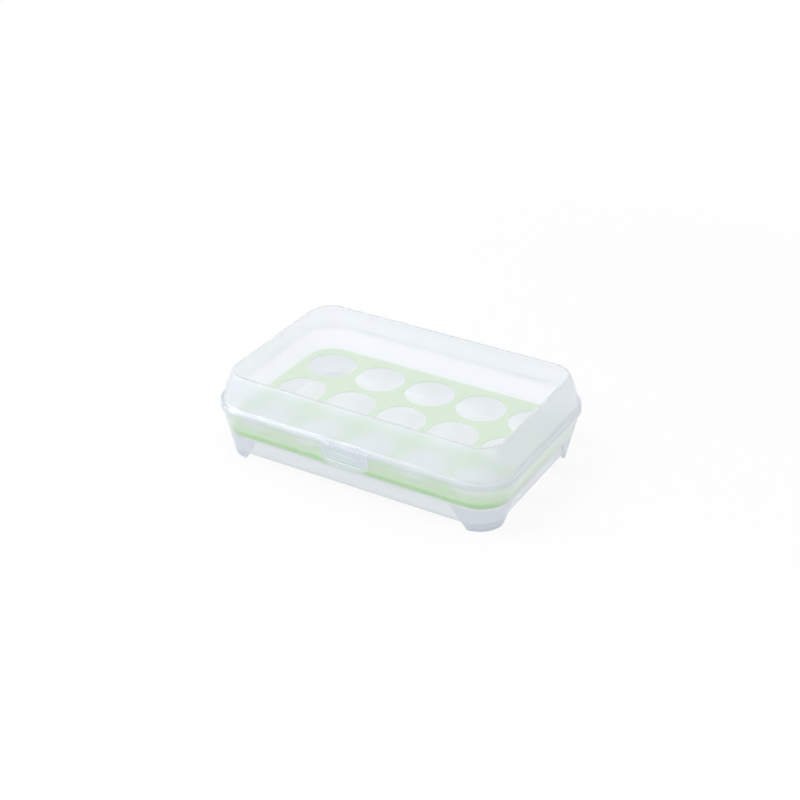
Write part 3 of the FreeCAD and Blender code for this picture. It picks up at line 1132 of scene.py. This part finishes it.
@dataclass
class Latch:
    """Bordered cover plate on pins, with grip ribs and a catch tooth, in millimetres."""

    plan: WallPlan
    width: float = 40.0
    length: float = 17.8
    plate: float = 1.6
    lean: float = 6.0
    corner_round: float = 6.0
    border: float = 3.4
    pocket_depth: float = 0.5
    pocket_draft: float = 0.35
    edge_round: float = 0.3
    edge_round_steps: int = 3
    skirt_wall: float = 1.6
    skirt_share: float = 0.8
    skirt_clearance: float = 0.3
    ribs: int = 3
    rib_height: float = 0.9
    rib_pitch: float = 2.4
    rib_proud: float = 0.35
    rib_margin: float = 4.0
    tooth_width: float = 16.0
    tooth_height: float = 3.0
    tooth_land: float = 0.8
    catch_clearance: float = 0.25
    side_clearance: float = 0.3

    def front_face(self, mesh: bmesh.types.BMesh) -> bmesh.types.BMFace:
        """Face of the cover that stands furthest forward."""
        return min(mesh.faces, key=lambda face: face.calc_center_median().y)

    def cover(self) -> bmesh.types.BMesh:
        """Model the cover plate with a raised border, upright on the pivot's axis.

        Returns:
            A closed mesh.
        """
        mesh = bmesh.new()
        half = self.width / 2
        front = -self.plan.knuckle_radius
        rounded_wire(mesh, [
            Corner(-half, 0),
            Corner(-half, -self.length, self.corner_round),
            Corner(half, -self.length, self.corner_round),
            Corner(half, 0),
        ], lambda x, z: Vector((x, front, z)), True)
        thickened(mesh, REARWARD * self.plate)
        shown = self.front_face(mesh)
        soften(mesh, Soften.EDGES, list(shown.edges), self.edge_round, self.edge_round_steps)
        shown = self.front_face(mesh)
        border = (self.border - self.edge_round, 0.0)
        pocket = (self.pocket_draft, -self.pocket_depth)
        for thickness, depth in (border, pocket):
            bmesh.ops.inset_region(mesh, faces=[shown], thickness=thickness, depth=depth,
                                   use_even_offset=True)
        return mesh

    def build(self) -> bpy.types.Object:
        """Model the latch and dress it.

        Returns:
            The finished piece.
        """
        plan = self.plan
        piece = as_object("front_latch", self.cover())
        barrel = rod(plan.knuckle_radius, 0, 0, 0, self.width)
        combine(piece, joined([*self.grip_ribs(), *self.skirts(), barrel]), Change.ADD)
        wide = plan.latch_ear_width + 2 * self.side_clearance
        notches = []
        pins = []
        for side in (-1, 1):
            middle = side * plan.latch_ear_spacing / 2
            notches.append(rod(plan.knuckle_radius + self.side_clearance, 0, 0, middle, wide))
            pins.append(rod(plan.pin_radius, 0, 0, middle, wide + 2 * self.side_clearance))
        combine(piece, joined(notches), Change.CUT)
        combine(piece, joined(pins), Change.ADD)
        place = Matrix.Translation((0, -plan.pivot, plan.latch_height))
        piece.data.transform(place @ Matrix.Rotation(math.radians(self.lean), 4, "X"))
        combine(piece, self.tooth(), Change.ADD)
        finish_piece(piece, [SATIN_LATCH.material()], "latch")
        return piece

    def grip_ribs(self) -> list[bmesh.types.BMesh]:
        """Model the plain grip ribs across the pocket.

        Returns:
            A closed mesh for each rib.
        """
        front = -self.plan.knuckle_radius + self.pocket_depth - self.rib_proud
        back = front + self.plate / 2
        middle = -self.length / 2
        half = self.rib_height / 2
        long = self.width - 2 * (self.border + self.rib_margin)
        bars = []
        for index in range(self.ribs):
            z = middle + (index - (self.ribs - 1) / 2) * self.rib_pitch
            bars.append(prism([
                Corner(front, z - half, self.edge_round),
                Corner(back, z - half),
                Corner(back, z + half),
                Corner(front, z + half, self.edge_round),
            ], 0, long))
        return bars

    def skirts(self) -> list[bmesh.types.BMesh]:
        """Model the side walls behind the cover.

        Returns:
            A closed mesh for each wall.
        """
        plan = self.plan
        front = self.plate / 2 - plan.knuckle_radius
        slope = math.tan(math.radians(self.lean))
        gap = plan.pivot_gap - self.skirt_clearance
        back = plan.knuckle_radius + gap - self.length / 2 * slope
        return [prism([
            Corner(front, 0),
            Corner(front, -self.length * self.skirt_share),
            Corner(back, -self.length / 2),
            Corner(back, 0),
        ], side * (self.width - self.skirt_wall) / 2, self.skirt_wall) for side in (-1, 1)]

    def tooth(self) -> bmesh.types.BMesh:
        """Model the catch tooth under the base's flange.

        Returns:
            A closed mesh in the shared frame.
        """
        plan = self.plan
        tilt = math.radians(self.lean)
        top = plan.flange_bottom - self.catch_clearance
        tip = -(plan.half_width + plan.flange_radius + self.catch_clearance)
        drop = plan.latch_height - top
        depth = (plan.knuckle_radius - self.plate / 2) / math.cos(tilt)
        root = -plan.pivot - depth + drop * math.tan(tilt)
        return prism([
            Corner(root, top),
            Corner(root, top - self.tooth_height),
            Corner(tip, top - self.tooth_land),
            Corner(tip, top),
        ], 0, self.tooth_width)


@dataclass(frozen=True)
class Lamp:
    """Square soft lamp, with its place and side in metres and its power in watts."""

    name: str
    spot: tuple[float, float, float]
    side: float
    power: float


@dataclass
class Studio:
    """White studio: pale floor, white surround, soft lamps and the photograph's camera.

    Angles are in degrees and lengths in metres, apart from the sensor's millimetres.
    """

    azimuth: float = 30.26
    elevation: float = 30.05
    distance: float = 1.2455
    aim_height: float = 0.0274
    aim_right: float = -0.00056
    aim_up: float = 0.0158
    focal_pixels: float = 1574.0
    picture_pixels: float = 800.0
    sensor: float = 36.0
    floor_side: float = 8.0
    floor_drop: float = 0.0002
    floor_colour: str = "#F4F5F7"
    floor_glow: float = 0.8
    fade_start: float = 0.25
    fade_end: float = 0.9
    surround_colour: str = "#FFFFFF"
    surround: float = 0.75
    lamps: tuple[Lamp, ...] = (
        Lamp("key_lamp", spot=(-1.6, -1.1, 1.7), side=1.4, power=30.0),
        Lamp("fill_lamp", spot=(1.6, -0.9, 1.2), side=1.6, power=6.0),
    )

    def camera(self) -> None:
        """Stand the camera at the photograph's viewpoint."""
        turn = math.radians(self.azimuth)
        tilt = math.radians(self.elevation)
        level = math.cos(tilt)
        back = Vector((math.sin(turn) * level, -math.cos(turn) * level, math.sin(tilt)))
        right = Vector((math.cos(turn), math.sin(turn), 0))
        up = back.cross(right)
        aim = UP * self.aim_height
        spot = aim + back * self.distance + right * self.aim_right + up * self.aim_up
        lens = bpy.data.cameras.new("photo_camera")
        lens.sensor_width = self.sensor
        lens.lens = self.focal_pixels * self.sensor / self.picture_pixels
        stand = bpy.data.objects.new("photo_camera", lens)
        pose = Matrix((right, up, back)).transposed().to_4x4()
        stand.matrix_world = Matrix.Translation(spot) @ pose
        bpy.context.scene.collection.objects.link(stand)
        bpy.context.scene.camera = stand

    def seen_directly(self, tree: bpy.types.NodeTree) -> bpy.types.NodeSocket:
        """Make a factor that is one for rays from the camera, a gloss or a clear piece.

        Args:
            tree: Node tree that takes the nodes.

        Returns:
            The factor.
        """
        path = add_node(tree, "ShaderNodeLightPath").outputs
        first = add_node(tree, "ShaderNodeMath", {"operation": "MAXIMUM"}, {
            0: path["Is Camera Ray"], 1: path["Is Glossy Ray"]}).outputs[0]
        return add_node(tree, "ShaderNodeMath", {"operation": "MAXIMUM"}, {
            0: first, 1: path["Is Transmission Ray"]}).outputs[0]

    def floor(self) -> None:
        """Lay a pale floor that keeps the shadow near the box and runs into the surround."""
        mesh = bmesh.new()
        bmesh.ops.create_grid(mesh, x_segments=1, y_segments=1, size=self.floor_side / 2)
        bmesh.ops.translate(mesh, verts=mesh.verts, vec=-UP * self.floor_drop)
        ground = as_object("studio_floor", mesh)
        material = empty_material("studio_floor")
        tree = material.node_tree
        matt = add_node(tree, "ShaderNodeBsdfDiffuse", {}, {"Color": linear(self.floor_colour)})
        glow = add_node(tree, "ShaderNodeEmission", {}, {"Strength": WHITE_GLOW})
        place = add_node(tree, "ShaderNodeTexCoord").outputs["Object"]
        reach = add_node(tree, "ShaderNodeVectorMath", {"operation": "LENGTH"}, {0: place})
        fade = add_node(tree, "ShaderNodeMapRange", {"interpolation_type": "SMOOTHSTEP"}, {
            "Value": reach.outputs["Value"], "From Min": self.fade_start,
            "From Max": self.fade_end, "To Min": self.floor_glow, "To Max": WHITE_GLOW})
        share = add_node(tree, "ShaderNodeMath", {"operation": "MULTIPLY"}, {
            0: self.seen_directly(tree), 1: fade.outputs["Result"]})
        both = add_node(tree, "ShaderNodeMixShader", {}, {
            0: share.outputs[0], 1: matt.outputs[0], 2: glow.outputs[0]})
        add_node(tree, "ShaderNodeOutputMaterial", {}, {"Surface": both.outputs[0]})
        ground.data.materials.append(material)

    def surround_light(self) -> None:
        """Set a white surround that lights the object at a plain level."""
        world = bpy.data.worlds.new("studio_surround")
        bpy.context.scene.world = world
        world.use_nodes = True
        tree = world.node_tree
        tree.nodes.clear()
        soft, white = (add_node(tree, "ShaderNodeBackground", {}, {
            "Color": linear(self.surround_colour), "Strength": strength}).outputs[0]
            for strength in (self.surround, WHITE_GLOW))
        both = add_node(tree, "ShaderNodeMixShader", {}, {
            0: self.seen_directly(tree), 1: soft, 2: white})
        add_node(tree, "ShaderNodeOutputWorld", {}, {"Surface": both.outputs[0]})

    def soft_lamps(self) -> None:
        """Hang the soft lamps, each turned to the box."""
        for lamp in self.lamps:
            light = bpy.data.lights.new(lamp.name, "AREA")
            light.size = lamp.side
            light.energy = lamp.power
            stand = bpy.data.objects.new(lamp.name, light)
            stand.location = lamp.spot
            stand.rotation_euler = Vector(lamp.spot).to_track_quat("Z", "Y").to_euler()
            bpy.context.scene.collection.objects.link(stand)

    def build(self) -> None:
        """Set up the whole studio."""
        bpy.context.scene.view_settings.view_transform = "Standard"
        self.camera()
        self.floor()
        self.surround_light()
        self.soft_lamps()


def main() -> None:
    """Build every piece in order and report it, then build the studio."""
    logging.basicConfig(level=logging.INFO, format="%(name)s %(message)s")
    plan = WallPlan()
    for maker in (Base(plan), EggTray(plan), Lid(plan), Latch(plan)):
        piece = maker.build()
        log.info("%s: %d faces", piece.name, len(piece.data.polygons))
    Studio().build()


if __name__ == "__main__":
    main()
